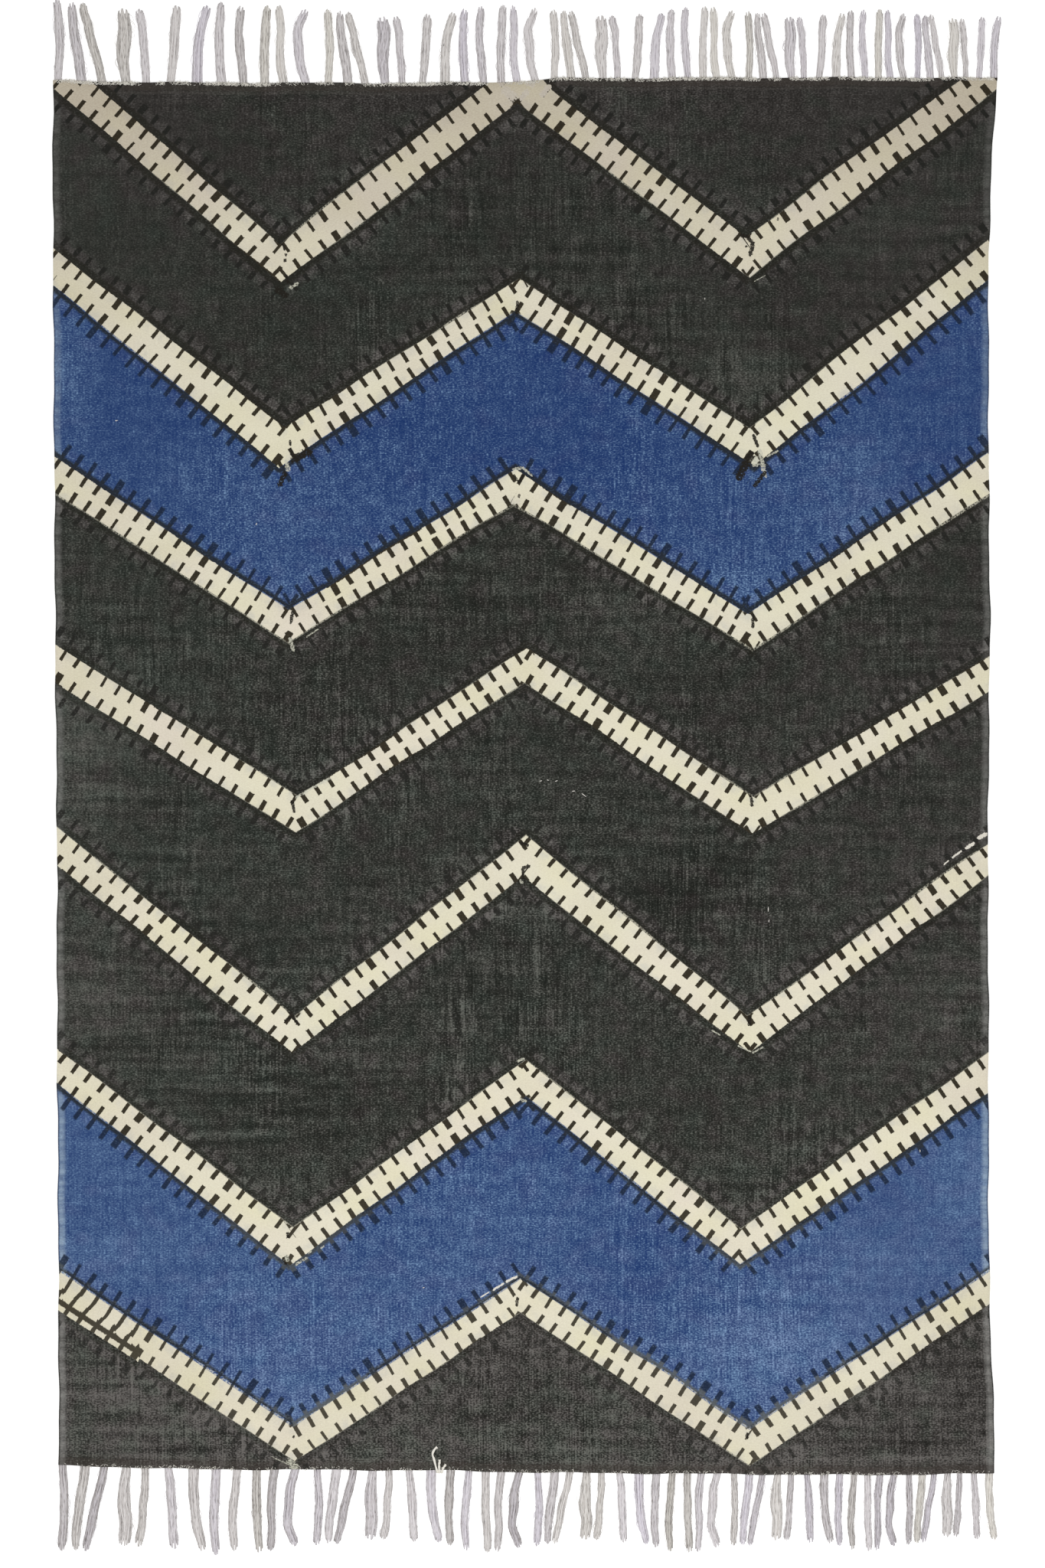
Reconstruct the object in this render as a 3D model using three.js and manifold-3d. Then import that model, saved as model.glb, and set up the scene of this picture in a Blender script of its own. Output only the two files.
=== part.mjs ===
// A flat-woven cotton dhurrie rug: one printed cloth, with a fringe of yarn strands along each short end.
// Millimetres, +Z up. The rug lies flat on z = 0 with its middle at the origin.
// +Y runs along the rug, towards the fringe_top end, and +X runs across it.
import * as THREE from 'three';
import { mergeVertices } from 'three/addons/utils/BufferGeometryUtils.js';
import Module from 'manifold-3d';

// Sizes of the cloth
const clothThickness = 4;
const clothRounding = 0.9; // how far the rim is rounded off, above and below
const rimStep = 20; // spacing of the outline's points

// Sizes of the fringe
const seam = 0.3; // gap between the cloth's edge and a fringe's backing strip
const stripWidth = 4;
const stripHeight = 3;
const stripInset = 2; // how far short of the cloth's corners the strip stops
const rootDepth = 2.5; // how far a strand's root reaches into the strip
const strandHeight = 3.4;
const strandSteps = 6;
const strandTopShare = 0.62; // width of a strand's top face, as a share of its foot

// The long edges: how far out each lies at a place along the rug
const longEdges = [
  { along: -900, left: -596.5, right: 601.5 },
  { along: -800, left: -597, right: 599 },
  { along: -680, left: -597, right: 594.5 },
  { along: -560, left: -597.5, right: 593 },
  { along: -330, left: -599, right: 593 },
  { along: -95, left: -599, right: 592 },
  { along: 200, left: -601.5, right: 595 },
  { along: 400, left: -602.5, right: 593 },
  { along: 670, left: -604, right: 593 },
  { along: 790, left: -604.5, right: 597.5 },
  { along: 850, left: -604, right: 601 },
  { along: 900, left: -604.5, right: 604.5 },
];

// The short edges: how far along each lies at a place across the rug
const shortEdges = [
  { across: -610, top: 889, bottom: -883 },
  { across: -560, top: 888.5, bottom: -883.5 },
  { across: -430, top: 886.5, bottom: -887.5 },
  { across: -120, top: 886, bottom: -889 },
  { across: -20, top: 887.5, bottom: -891 },
  { across: 40, top: 892, bottom: -892 },
  { across: 300, top: 893, bottom: -894 },
  { across: 430, top: 893, bottom: -895 },
  { across: 610, top: 892.5, bottom: -893 },
];

// The strands come in runs of twelve shapes. For each shape: its place in the run, from 0 to 1; how far it
// leans across at a quarter, half, three quarters and all of its reach; its width at root, middle and tip.
const strandShapes = [
  { place: 0.000, quarter: 1.5, half: 2.5, late: 1, tip: -1, root: 8.5, middle: 9.5, end: 9, reach: 91 },
  { place: 0.088, quarter: -3, half: -7, late: -11, tip: -12.5, root: 11, middle: 11, end: 8.5, reach: 89 },
  { place: 0.164, quarter: -5, half: -13, late: -18, tip: -24.5, root: 9, middle: 9.5, end: 9, reach: 89 },
  { place: 0.252, quarter: -3, half: -3.5, late: -1, tip: -3.5, root: 9, middle: 16, end: 14, reach: 83 },
  { place: 0.326, quarter: -0.5, half: -3, late: -4, tip: -8.5, root: 8.5, middle: 8.5, end: 9.5, reach: 83 },
  { place: 0.416, quarter: 3, half: 5, late: 6, tip: 8, root: 8.5, middle: 10.5, end: 9.5, reach: 86 },
  { place: 0.516, quarter: 0, half: 1.5, late: 5, tip: 11.5, root: 12, middle: 11, end: 9.5, reach: 87 },
  { place: 0.606, quarter: -2, half: -3, late: -3, tip: -1, root: 10, middle: 10, end: 8.5, reach: 91 },
  { place: 0.688, quarter: -2.5, half: -5.5, late: -6.5, tip: -4, root: 8.5, middle: 9.5, end: 8, reach: 95 },
  { place: 0.765, quarter: -0.5, half: 0, late: 1, tip: 3, root: 9.5, middle: 9.5, end: 9, reach: 96 },
  { place: 0.836, quarter: -4, half: -5, late: -4, tip: -6, root: 9.5, middle: 9, end: 8, reach: 95 },
  { place: 0.918, quarter: -7, half: -9, late: -11, tip: -2, root: 9, middle: 11, end: 9, reach: 90 },
];
const strandsPerEnd = 55;
const lateShapes = 8; // the shapes from this one on follow a run's lateReach

// The runs get shorter, narrower and less slanted from left to right. lean and width scale a shape's lean and
// width, and earlyReach and lateReach scale its reach.
const topRuns = [
  { start: -598, span: 346, lean: 1, width: 1, earlyReach: 1.1, lateReach: 1.01 },
  { start: -252, span: 289, lean: 0.86, width: 0.9, earlyReach: 1, lateReach: 1 },
  { start: 37, span: 249, lean: 0.76, width: 0.84, earlyReach: 0.935, lateReach: 0.92 },
  { start: 286, span: 217, lean: 0.64, width: 0.77, earlyReach: 0.91, lateReach: 0.89 },
  { start: 502, span: 189, lean: 0.54, width: 0.7, earlyReach: 0.88, lateReach: 0.88 },
];
const bottomRuns = [
  { start: -592, span: 325, lean: 0.95, width: 0.98, earlyReach: 1.17, lateReach: 1.06 },
  { start: -266, span: 282, lean: 0.84, width: 0.9, earlyReach: 1.03, lateReach: 1.04 },
  { start: 16, span: 251, lean: 0.76, width: 0.84, earlyReach: 1, lateReach: 1.02 },
  { start: 267, span: 224, lean: 0.65, width: 0.77, earlyReach: 0.98, lateReach: 0.98 },
  { start: 491, span: 199, lean: 0.56, width: 0.72, earlyReach: 0.95, lateReach: 0.95 },
];

// Small unevenness of a cut or woven edge, in the form of two waves
const ripples = [
  { size: 0.7, wave: 167, shift: 0.4 },
  { size: 0.4, wave: 71, shift: 2.1 },
];

const wasm = await Module();
wasm.setup();

function ripple(at) {
  return ripples.reduce((sum, r) => sum + r.size * Math.sin((2 * Math.PI * at) / r.wave + r.shift), 0);
}

// The value of one column of a table at a place, on straight lines between its rows.
function lookUp(table, key, column, at) {
  const next = Math.max(1, table.findIndex((row) => row[key] >= at));
  const [a, b] = [table[next - 1], table[next]];
  const share = (at - a[key]) / (b[key] - a[key]);
  return a[column] + share * (b[column] - a[column]);
}

const longEdge = (side, along) => lookUp(longEdges, 'along', side, along) + ripple(along);
const shortEdge = (end, across) => lookUp(shortEdges, 'across', end, across) + ripple(across + 300);

function evenSteps(from, to, step) {
  const count = Math.round(Math.abs(to - from) / step);
  return Array.from({ length: count }, (_, i) => from + ((to - from) * i) / count);
}

// The corner where a long edge meets a short edge.
function corner(side, end) {
  const along = shortEdge(end, longEdges[end === 'top' ? longEdges.length - 1 : 0][side]);
  return new THREE.Vector2(longEdge(side, along), along);
}

function clothOutline() {
  const [a, b, c, d] = [
    corner('left', 'bottom'), corner('right', 'bottom'), corner('right', 'top'), corner('left', 'top'),
  ];
  const across = (end, from, to) =>
    evenSteps(from.x, to.x, rimStep).slice(1).map((x) => new THREE.Vector2(x, shortEdge(end, x)));
  const along = (side, from, to) =>
    evenSteps(from.y, to.y, rimStep).slice(1).map((y) => new THREE.Vector2(longEdge(side, y), y));
  return [
    a, ...across('bottom', a, b), b, ...along('right', b, c), c, ...across('top', c, d), d, ...along('left', d, a),
  ];
}

function makeCloth() {
  const cloth = new THREE.ExtrudeGeometry(new THREE.Shape(clothOutline()), {
    depth: clothThickness - 2 * clothRounding,
    bevelThickness: clothRounding,
    bevelSize: clothRounding,
    bevelOffset: -clothRounding,
    bevelSegments: 1,
  });
  return cloth.translate(0, 0, clothRounding);
}

function solidOf(geometry) {
  geometry.deleteAttribute('normal');
  geometry.deleteAttribute('uv');
  const merged = mergeVertices(geometry, 1e-4);
  return new wasm.Manifold(new wasm.Mesh({
    numProp: 3,
    vertProperties: new Float32Array(merged.attributes.position.array),
    triVerts: new Uint32Array(merged.index.array),
  }));
}

function geometryOf(solid) {
  const mesh = solid.getMesh();
  const geometry = new THREE.BufferGeometry();
  geometry.setAttribute('position', new THREE.BufferAttribute(mesh.vertProperties, 3));
  geometry.setIndex(new THREE.BufferAttribute(mesh.triVerts, 1));
  return geometry;
}

// The narrow strip that holds a fringe's roots. It follows the cloth's edge, parted from it by the seam.
function makeStrip(end, outward) {
  const [left, right] = [corner('left', end).x + stripInset, corner('right', end).x - stripInset];
  const stations = [...evenSteps(left, right, rimStep), right];
  const line = (away) => stations.map((x) => new THREE.Vector2(x, shortEdge(end, x) + outward * away));
  const rim = [...line(seam), ...line(seam + stripWidth).reverse()];
  return new THREE.ExtrudeGeometry(new THREE.Shape(rim), { depth: stripHeight, bevelEnabled: false });
}

// A smooth value from 0 at the root through a shape's four columns.
function leanAt(shape, t) {
  const points = [0, shape.quarter, shape.half, shape.late, shape.tip];
  return new THREE.SplineCurve(points.map((lean, i) => new THREE.Vector2(i, lean))).getPoint(t).y;
}

function widthAt(shape, t) {
  const [from, to, share] = t < 0.5 ? [shape.root, shape.middle, 2 * t] : [shape.middle, shape.end, 2 * t - 1];
  return THREE.MathUtils.lerp(from, to, share);
}

// One strand: a four-sided bar, bent in plan along its lean, with its foot flat on z = 0 all the way.
function makeStrand(end, outward, shape, run, reachScale) {
  const x = run.start + shape.place * run.span;
  const y = shortEdge(end, x) + outward * (seam + stripWidth - rootDepth);
  const reach = shape.reach * reachScale - stripWidth + rootDepth;
  const bar = new THREE.BoxGeometry(1, 1, 1, 1, strandSteps, 1);
  const position = bar.attributes.position;
  for (let i = 0; i < position.count; i += 1) {
    const t = position.getY(i) + 0.5;
    const isTop = position.getZ(i) > 0;
    const width = widthAt(shape, t) * run.width * (isTop ? strandTopShare : 1);
    const height = strandHeight * (1 - 0.25 * t);
    position.setXYZ(
      i,
      x + run.lean * leanAt(shape, t) + outward * width * position.getX(i),
      y + outward * reach * t,
      isTop ? height : 0,
    );
  }
  return bar;
}

function makeFringe(end, outward, runs) {
  let fringe = solidOf(makeStrip(end, outward));
  for (let i = 0; i < strandsPerEnd; i += 1) {
    const place = i % strandShapes.length;
    const run = runs[Math.floor(i / strandShapes.length)];
    const reachScale = place < lateShapes ? run.earlyReach : run.lateReach;
    fringe = fringe.add(solidOf(makeStrand(end, outward, strandShapes[place], run, reachScale)));
  }
  return geometryOf(fringe);
}

const printedCotton = new THREE.MeshStandardMaterial({ color: '#3b3a37', roughness: 0.95, metalness: 0 });
const fringeYarn = new THREE.MeshStandardMaterial({ color: '#ddd9d2', roughness: 0.95, metalness: 0 });

function addPiece(group, name, geometry, material) {
  const piece = new THREE.Mesh(geometry, material);
  piece.name = name;
  group.add(piece);
}

const rug = new THREE.Group();
addPiece(rug, 'rug_field', makeCloth(), printedCotton);
addPiece(rug, 'fringe_top', makeFringe('top', 1, topRuns), fringeYarn);
addPiece(rug, 'fringe_bottom', makeFringe('bottom', -1, bottomRuns), fringeYarn);

export default rug;
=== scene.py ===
import math

import bpy
import numpy as np
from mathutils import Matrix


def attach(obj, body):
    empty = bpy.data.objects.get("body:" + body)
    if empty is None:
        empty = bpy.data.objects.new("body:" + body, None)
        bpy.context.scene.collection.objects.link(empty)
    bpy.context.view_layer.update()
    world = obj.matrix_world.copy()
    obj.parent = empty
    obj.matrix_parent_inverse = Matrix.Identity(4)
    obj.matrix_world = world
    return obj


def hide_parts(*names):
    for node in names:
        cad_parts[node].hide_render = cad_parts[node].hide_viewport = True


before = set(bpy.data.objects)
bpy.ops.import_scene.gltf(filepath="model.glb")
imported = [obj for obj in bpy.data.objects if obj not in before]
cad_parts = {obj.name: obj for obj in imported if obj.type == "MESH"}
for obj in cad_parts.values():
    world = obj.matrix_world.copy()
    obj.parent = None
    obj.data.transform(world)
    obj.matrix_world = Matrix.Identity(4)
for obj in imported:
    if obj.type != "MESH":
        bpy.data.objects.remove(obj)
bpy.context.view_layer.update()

MM = 0.001
chance = np.random.default_rng(41)

# Sizes of the cloth
THICKNESS = 4.0
ROUNDING = 0.9
FACE_INSET = 1.2
RIBS_PER_LEG = (80, 76, 76, 80)
COLUMNS_PER_RIB = 2
ROWS = 128
UNDERSIDE_STEP = 8
RIB_HEIGHT = 0.18
PICK = 1.7
SELVEDGE_WIDTH = 7.0
SELVEDGE_HEIGHT = 0.45
WAVE_HEIGHT = 1.6
WAVE_REACH = 90

# The long edges: how far out each lies at a place along the rug
LONG_EDGES = {
    "along": (-900, -800, -680, -560, -330, -95, 200, 400, 670, 790, 850, 900),
    "left": (-596.5, -597, -597, -597.5, -599, -599, -601.5, -602.5, -604, -604.5, -604, -604.5),
    "right": (601.5, 599, 594.5, 593, 593, 592, 595, 593, 593, 597.5, 601, 604.5),
}

# The short edges: how far along each lies at a place across the rug
SHORT_EDGES = {
    "across": (-610, -560, -430, -120, -20, 40, 300, 430, 610),
    "top": (889, 888.5, 886.5, 886, 887.5, 892, 893, 893, 892.5),
    "bottom": (-883, -883.5, -887.5, -889, -891, -892, -894, -895, -893),
}
OUTWARD = {"top": 1, "bottom": -1}

# Small unevenness of a cut or woven edge: the size, length and shift of two waves
RIPPLES = ((0.7, 167, 0.4), (0.4, 71, 2.1))

# The cream zigzags, from the top of the rug down. At the left end: how far along the cream's upper edge and
# its lower edge lie. At the first valley, the peak and the second valley: place across and along of the
# upper edge, then of the lower edge. At the right end: as at the left one.
LEFT_END = -604
RIGHT_END = 610
ZIGZAG_CORNERS = (
    ((929, 881), (-314, 681, -313, 629), (-13, 913, -10, 860), (282, 689, 287, 639), (928, 882)),
    ((674, 628), (-308, 446, -315, 395), (-7, 636, -13, 595), (287, 444, 294, 396), (699, 648)),
    ((409, 364), (-303, 211, -303, 171), (-12, 391, -15, 348), (285, 206, 291, 162), (423, 372)),
    ((169, 120), (-291, -27, -294, -72), (2, 163, -1, 120), (292, -28, 290, -75), (163, 118)),
    ((-62, -111), (-295, -308, -299, -355), (1, -77, -2, -130), (284, -308, 287, -354), (-74, -114)),
    ((-345, -389), (-297, -580, -301, -626), (1, -364, 1, -409), (276, -579, 275, -626), (-343, -393)),
    ((-629, -674), (-297, -833, -295, -878), (-6, -644, -6, -687), (287, -836, 287, -883), (-625, -665)),
)

# A zigzag's legs: for each, the numbers of the corner at its valley and of the corner away from it
LEG_ENDS = ((1, 0), (1, 2), (3, 2), (3, 4))

# Where each printing block starts, with its thick tick: how far from the valley on each of the four legs,
# along the upper line and then along the lower line
BLOCK_STARTS = (
    ((101, 65, 131, 57), (138, 94, 22, 99)),
    ((122, 75, 127, 106), (7, 105, 14, 94)),
    ((125, 67, 133, 87), (3, 86, 16, 81)),
    ((84, 128, 74, 135), (74, 13, 99, 19)),
    ((107, 119, 93, 143), (100, 136, 124, 23)),
    ((100, 96, 62, 106), (128, 123, 95, 132)),
    ((74, 125, 78, 128), (100.5, 10, 81, 13)),
)
BLUE_GROUNDS = (2, 6)

# How far outward of the cream each zigzag's upper and lower lines start, on the whole
LINE_STARTS = ((0.2, 0.4), (0.0, 0.4), (-0.3, 1.4), (0.4, 0.1), (1.2, 0.2), (0.6, 0.6), (1.7, 0.6))

# Sizes of the print. BLOCKS_APART keeps the blocks of any two lines apart, so that each has its own chance.
BLOCK_LENGTH = 143.5
BLOCKS_APART = 20
TICKS_PER_BLOCK = 7
TICK_HALF_WIDTH = 2.55
THICK_TICK_HALF_WIDTH = 4.2
TICK_INWARD = 14.3
TICK_OUTWARD = 22.0
DOUBLED_TICK_INWARD = 22.0
LINE_WIDTH = 8.8
SECOND_LINE_INWARD = 10.5
INK_REACH = 40.0
CREASE_REACH = 28.0
MARK_REACH = 15.0

# Blots of ink, places where the ink is thin, and places that the print missed: across and along for one end
# of the mark, then for its other end, and its half width
MARKS = {
    "blot": (
        (-310.4, 679.8, -308, 672.6, 1.3), (-306.1, 666.6, -306.1, 665.6, 1.6),
        (-307.4, 659.5, -307.4, 658.6, 1.8), (-305.5, 639.9, -303.8, 631.8, 1.8),
        (-316.5, 621.3, -307.7, 615.4, 4.2), (276.7, 691.6, 284.9, 688.9, 2.2),
        (284.9, 688.9, 291.4, 680.8, 2.4), (291.4, 680.8, 288.1, 666.7, 2.6),
        (282.8, 676.9, 283.6, 676.9, 1.3), (323.4, 712.3, 323.4, 711.3, 1.4),
        (-300.9, 428.3, -300.3, 423.4, 1.5), (-300.2, 417.2, -296.9, 407.4, 2),
        (-295, 405.2, -277.3, 413.9, 5), (-307.4, 386.1, -313.9, 372.4, 3.2),
        (-9.8, 605.3, -10.8, 592.2, 1.9), (292, 434.8, 297.6, 421.7, 2), (288.8, 410.3, 274.1, 382.5, 4.8),
        (306.7, 387.4, 293.7, 371.1, 2.4), (-297.2, 208.7, -299.6, 196, 2.1),
        (-14.4, 383.9, -7.8, 375, 1.4), (-7.8, 375, -2.3, 384.2, 1.6), (-7.8, 358.7, -7.8, 356.7, 1.7),
        (291.4, 205.5, 291.4, 190.8, 2.1), (-298.2, -32.6, -295.7, -45.8, 1.9),
        (288.8, -27.4, 290.4, -37.9, 2.1), (-300.2, -303.5, -292, -316.5, 2.1),
        (-306.7, -313.3, -296.9, -306.7, 1.5), (-5.6, -85.9, 2.6, -89.2, 1.9),
        (-2.6, -118.6, 3.9, -115.9, 2.4), (-2.9, -120.2, -2.9, -131.6, 1.5),
        (287.4, -308.4, 286.8, -318.2, 2.2), (-303.8, -586, -303.8, -590, 2.1),
        (-309.7, -617.4, -306.7, -624.3, 1.8), (-296.3, -845.1, -296.3, -846, 1.5),
        (-9.8, -669, -10.8, -677.2, 2), (283.9, -842.8, 283.9, -846.7, 2.1),
    ),
    "bare": (
        (-300.6, 623.6, -291.7, 629.5, 1.9), (292.3, 693.8, 293, 692.9, 1.9),
        (293.6, 632.4, 306.9, 639.6, 0.5), (-305.8, 402.5, -303.5, 391, 2.6),
        (300.2, 415.2, 306.7, 384.2, 2.8), (293.7, 404.7, 294, 398.9, 4.4), (310, 408.7, 323.1, 415.2, 1.2),
        (-300.6, 174.4, -297.2, 161.4, 2.4), (-279.3, 177.7, -264.6, 187.5, 0.8),
        (-14.4, 392, -2.9, 393.7, 1.9), (-2.9, 393.7, 8.1, 384.2, 1.4), (-293, -27.9, -250.4, -3.4, 1.5),
        (-5.6, -134.9, -3.9, -136.2, 2), (239.4, -326.3, 249.2, -331.9, 0.9),
        (272.7, -345.9, 288.4, -353.1, 0.9), (290.8, -355.1, 303.8, -347.6, 1),
        (-305.1, -616.4, -305.1, -619.4, 2.8), (-293, -625, -287, -622, 1.6),
        (-283.5, -619.5, -280, -617.5, 1.5), (-277, -611, -274, -609, 1), (-261, -604.5, -257, -602, 1),
        (-318.5, -610.5, -312, -615, 0.9), (-8.8, -364.9, -2.3, -362.3, 1.7),
        (-3.9, -415.8, 0, -416.5, 1.9), (-324, -871.5, -303, -881.3, 0.6),
        (-299.9, -877.6, -294.5, -886.4, 4.6),
    ),
    "clear": (
        (-24.5, 876.1, -16.2, 868.8, 5.7), (2, 874.7, -4.9, 866.8, 3.4), (22.1, 871.2, 29.4, 880.5, 3.6),
        (-32, 886.5, -29, 884.5, 3.6), (5, 885.5, 9, 884, 3.8), (536, -114, 541.5, -109, 0.8),
        (547, -104.8, 557.5, -97, 1.2), (564.8, -92.6, 573.6, -86.8, 2), (581, -79.6, 589, -75, 2.6),
        (-56.4, -667.2, -47, -661, 0.8), (-40.5, -658, -28, -650, 1.2), (-24, -647.5, -11.5, -641.3, 1.5),
    ),
}
MARKS_BY_A_FACE = {"blot": 3, "bare": 2, "clear": 2}

# How light the charcoal print is down the rug, as a picture shows it from 0 to 255, and the share of light
# in the blue print: places along the rug, and the levels there
CHARCOAL_LEVELS = (
    (-900, -800, -640, -400, -200, 120, 300, 550, 900),
    (72, 71, 64, 56, 53, 54, 51, 50, 53),
)
BLUE_LEVELS = (
    (-900, -800, -650, -450, 250, 450, 600, 900),
    (0.34, 0.30, 0.25, 0.20, 0.16, 0.12, 0.12, 0.12),
)

# Where the print is paler: place across and along, size across and along, and how much
WORN_PLACES = (
    (14, -225, 5, 60, 0.34), (288, 505, 60, 30, 0.20), (430, 320, 60, 60, 0.10), (-565, 70, 55, 120, 0.15),
    (-560, -260, 60, 150, 0.14), (560, -260, 50, 90, 0.07), (-430, -820, 60, 50, 0.11),
    (115, 205, 60, 30, 0.10), (290, -730, 90, 60, 0.09), (-480, -800, 90, 60, 0.12),
    (-300, -30, 60, 40, -0.05), (-150, -880, 60, 50, 0.04), (-580, 500, 30, 100, 0.10),
    (-330, 350, 70, 50, 0.06), (-312, 705, 45, 22, 0.08), (284, 715, 45, 25, 0.14),
    (-10, 840, 40, 20, 0.14), (-15, 328, 35, 18, 0.06), (-303, 240, 35, 20, 0.07), (285, 235, 35, 20, 0.10),
    (-1, 100, 35, 18, 0.08), (-291, 0, 30, 15, 0.08), (292, -2, 30, 15, 0.10), (-2, -150, 35, 18, 0.10),
    (-295, -283, 35, 18, 0.08), (284, -283, 40, 20, 0.08), (-297, -555, 35, 20, 0.06),
    (276, -553, 40, 22, 0.10), (-6, -706, 35, 18, 0.10), (262, -870, 24, 9, 0.25),
    (330, -735, 110, 12, 0.06), (400, -706, 90, 8, 0.05), (-60, 130, 300, 110, -0.05),
    (250, 90, 100, 70, -0.05), (190, -140, 110, 70, -0.08), (-565, 20, 60, 80, 0.15),
    (-260, -440, 120, 70, -0.07), (260, -430, 120, 70, -0.06), (-10, -790, 70, 60, -0.12),
    (520, -810, 110, 70, -0.11), (430, 670, 60, 60, 0.04), (430, 405, 50, 50, 0.09),
    (0, 420, 200, 60, -0.035), (130, -620, 80, 60, -0.09), (570, -500, 50, 80, 0.14),
    (430, -610, 60, 60, 0.05),
)

# The strands come in runs of twelve shapes. For each shape: its place in the run, from 0 to 1; how far it
# leans across at a quarter, half, three quarters and all of its reach; its width at root, middle and tip;
# and its reach.
STRAND_SHAPES = (
    (0.000, (1.5, 2.5, 1, -1), (8.5, 9.5, 9), 91),
    (0.088, (-3, -7, -11, -12.5), (11, 11, 8.5), 89),
    (0.164, (-5, -13, -18, -24.5), (9, 9.5, 9), 89),
    (0.252, (-3, -3.5, -1, -3.5), (9, 16, 14), 83),
    (0.326, (-0.5, -3, -4, -8.5), (8.5, 8.5, 9.5), 83),
    (0.416, (3, 5, 6, 8), (8.5, 10.5, 9.5), 86),
    (0.516, (0, 1.5, 5, 11.5), (12, 11, 9.5), 87),
    (0.606, (-2, -3, -3, -1), (10, 10, 8.5), 91),
    (0.688, (-2.5, -5.5, -6.5, -4), (8.5, 9.5, 8), 95),
    (0.765, (-0.5, 0, 1, 3), (9.5, 9.5, 9), 96),
    (0.836, (-4, -5, -4, -6), (9.5, 9, 8), 95),
    (0.918, (-7, -9, -11, -2), (9, 11, 9), 90),
)
STRANDS_PER_END = 55
LATE_SHAPES = 8

# For each run of strands: where it starts and how wide it is, the scale of its leans and widths, and the
# scale of its reach for the early and the late shapes
STRAND_RUNS = {
    "top": (
        (-598, 346, 1, 1, 1.1, 1.01),
        (-252, 289, 0.86, 0.9, 1, 1),
        (37, 249, 0.76, 0.84, 0.935, 0.92),
        (286, 217, 0.64, 0.77, 0.91, 0.89),
        (502, 189, 0.54, 0.7, 0.88, 0.88),
    ),
    "bottom": (
        (-592, 325, 0.95, 0.98, 1.17, 1.06),
        (-266, 282, 0.84, 0.9, 1.03, 1.04),
        (16, 251, 0.76, 0.84, 1, 1.02),
        (267, 224, 0.65, 0.77, 0.98, 0.98),
        (491, 199, 0.56, 0.72, 0.95, 0.95),
    ),
}

# Sizes of the yarn
ROOT_INSIDE = 3.0
PLIES = 7
PLY_SIDES = 6
PLY_STEPS = 18
STRAND_HEIGHT = 3.2
CORE_HEIGHT = 1.4
CORE_SIDES = 8
FIBRES = 52
FIBRE_STEPS = 6
FIBRE_RADIUS = 0.17

# How dark the yarn is: the most that chance adds to a strand, what comes off at each end of the rug and
# from the first strand to the last, and what is added at a strand's sides as painted shade, in its core and
# on its fibres
SHADE_BY_CHANCE = 0.34
SHADE_OFF = {"top": 0.19, "bottom": 0.0}
SHADE_OFF_ACROSS = 0.10
PAINTED_SIDE_SHADE = 0.38
CORE_SHADE = 0.15
FIBRE_SHADE = -0.1

# Lint: how many fibres lie along each short edge, and their radius
EDGE_LINT = {"top": 2900, "bottom": 450}
LINT_RADIUS = 0.3

# Bits of undyed cotton caught on the face: place across and along, length and turn in degrees
FACE_SPECKS = (
    (-523, 454, 4, 20), (-344, 322, 4, 70), (75, -25, 7, -40), (311, -171, 6, 80), (312, -186, 4, 75),
    (20, -7, 3, 5), (29, -6, 3, -10), (40, -7, 4, 10), (62, -20, 4, 0), (420, 260, 3, 60),
    (505, -480, 3, 80), (-130, -655, 3, 10), (230, 610, 3, 75),
)

# Three warp ends that have come up through the cloth near the bottom edge: places across and along
LOOSE_WARP_ENDS = (
    ((-112, -892), (-114, -885), (-116.5, -875), (-118.5, -868), (-116, -862), (-112.5, -859)),
    ((-110, -892), (-110, -888), (-110, -884), (-110, -881), (-109.5, -878), (-109.5, -875)),
    ((-107, -892), (-106, -889), (-105, -886), (-103.5, -884), (-102.5, -882.5), (-101.5, -881)),
)
WARP_END_RADIUS = 1.4


# The camera and the lights, in metres

def add_object(name, data, location=(0, 0, 0)):
    added = bpy.data.objects.new(name, data)
    added.location = location
    bpy.context.collection.objects.link(added)
    return added


def make_camera():
    """Looks straight down on the rug, from as far off as a product photo is taken."""
    distance = 8.0
    view_height = 2.007
    data = bpy.data.cameras.new("camera")
    data.lens = data.sensor_width * distance / view_height
    bpy.context.scene.camera = add_object("camera", data, (-0.0034, -0.0108, distance))


def make_lights():
    world = bpy.data.worlds.new("pale_room")
    world.use_nodes = True
    background = world.node_tree.nodes["Background"]
    background.inputs["Color"].default_value = (1, 1, 1, 1)
    background.inputs["Strength"].default_value = 0.60
    bpy.context.scene.world = world
    data = bpy.data.lights.new("soft_box", "AREA")
    data.shape = "SQUARE"
    data.size = 3.0
    data.energy = 57
    light = add_object("soft_box", data, (0, -0.9, 3.2))
    light.rotation_euler = (math.radians(-16), 0, 0)


def make_floor():
    size = 30.0
    mesh = bpy.data.meshes.new("floor")
    corners = [(-size, -size, 0), (size, -size, 0), (size, size, 0), (-size, size, 0)]
    mesh.from_pydata(corners, [], [(0, 1, 2, 3)])
    floor = add_object("floor", mesh)
    material = bpy.data.materials.new("pale_floor")
    material.use_nodes = True
    looks = {
        "Base Color": (0.85, 0.85, 0.85, 1), "Roughness": 1.0, "Specular IOR Level": 0.0,
        "Emission Color": (1, 1, 1, 1), "Emission Strength": 0.45,
    }
    for name, value in looks.items():
        material.node_tree.nodes["Principled BSDF"].inputs[name].default_value = value
    mesh.materials.append(material)


# The shape of the cloth

def ramp(value, start, end):
    """Goes evenly from 0 to 1 as the value goes from start to end."""
    return np.clip((value - start) / (end - start), 0, 1)


def ripple(at):
    return sum(size * np.sin(2 * np.pi * at / wave + shift) for size, wave, shift in RIPPLES)


def long_edge(side, along):
    return np.interp(along, LONG_EDGES["along"], LONG_EDGES[side]) + ripple(along)


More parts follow.
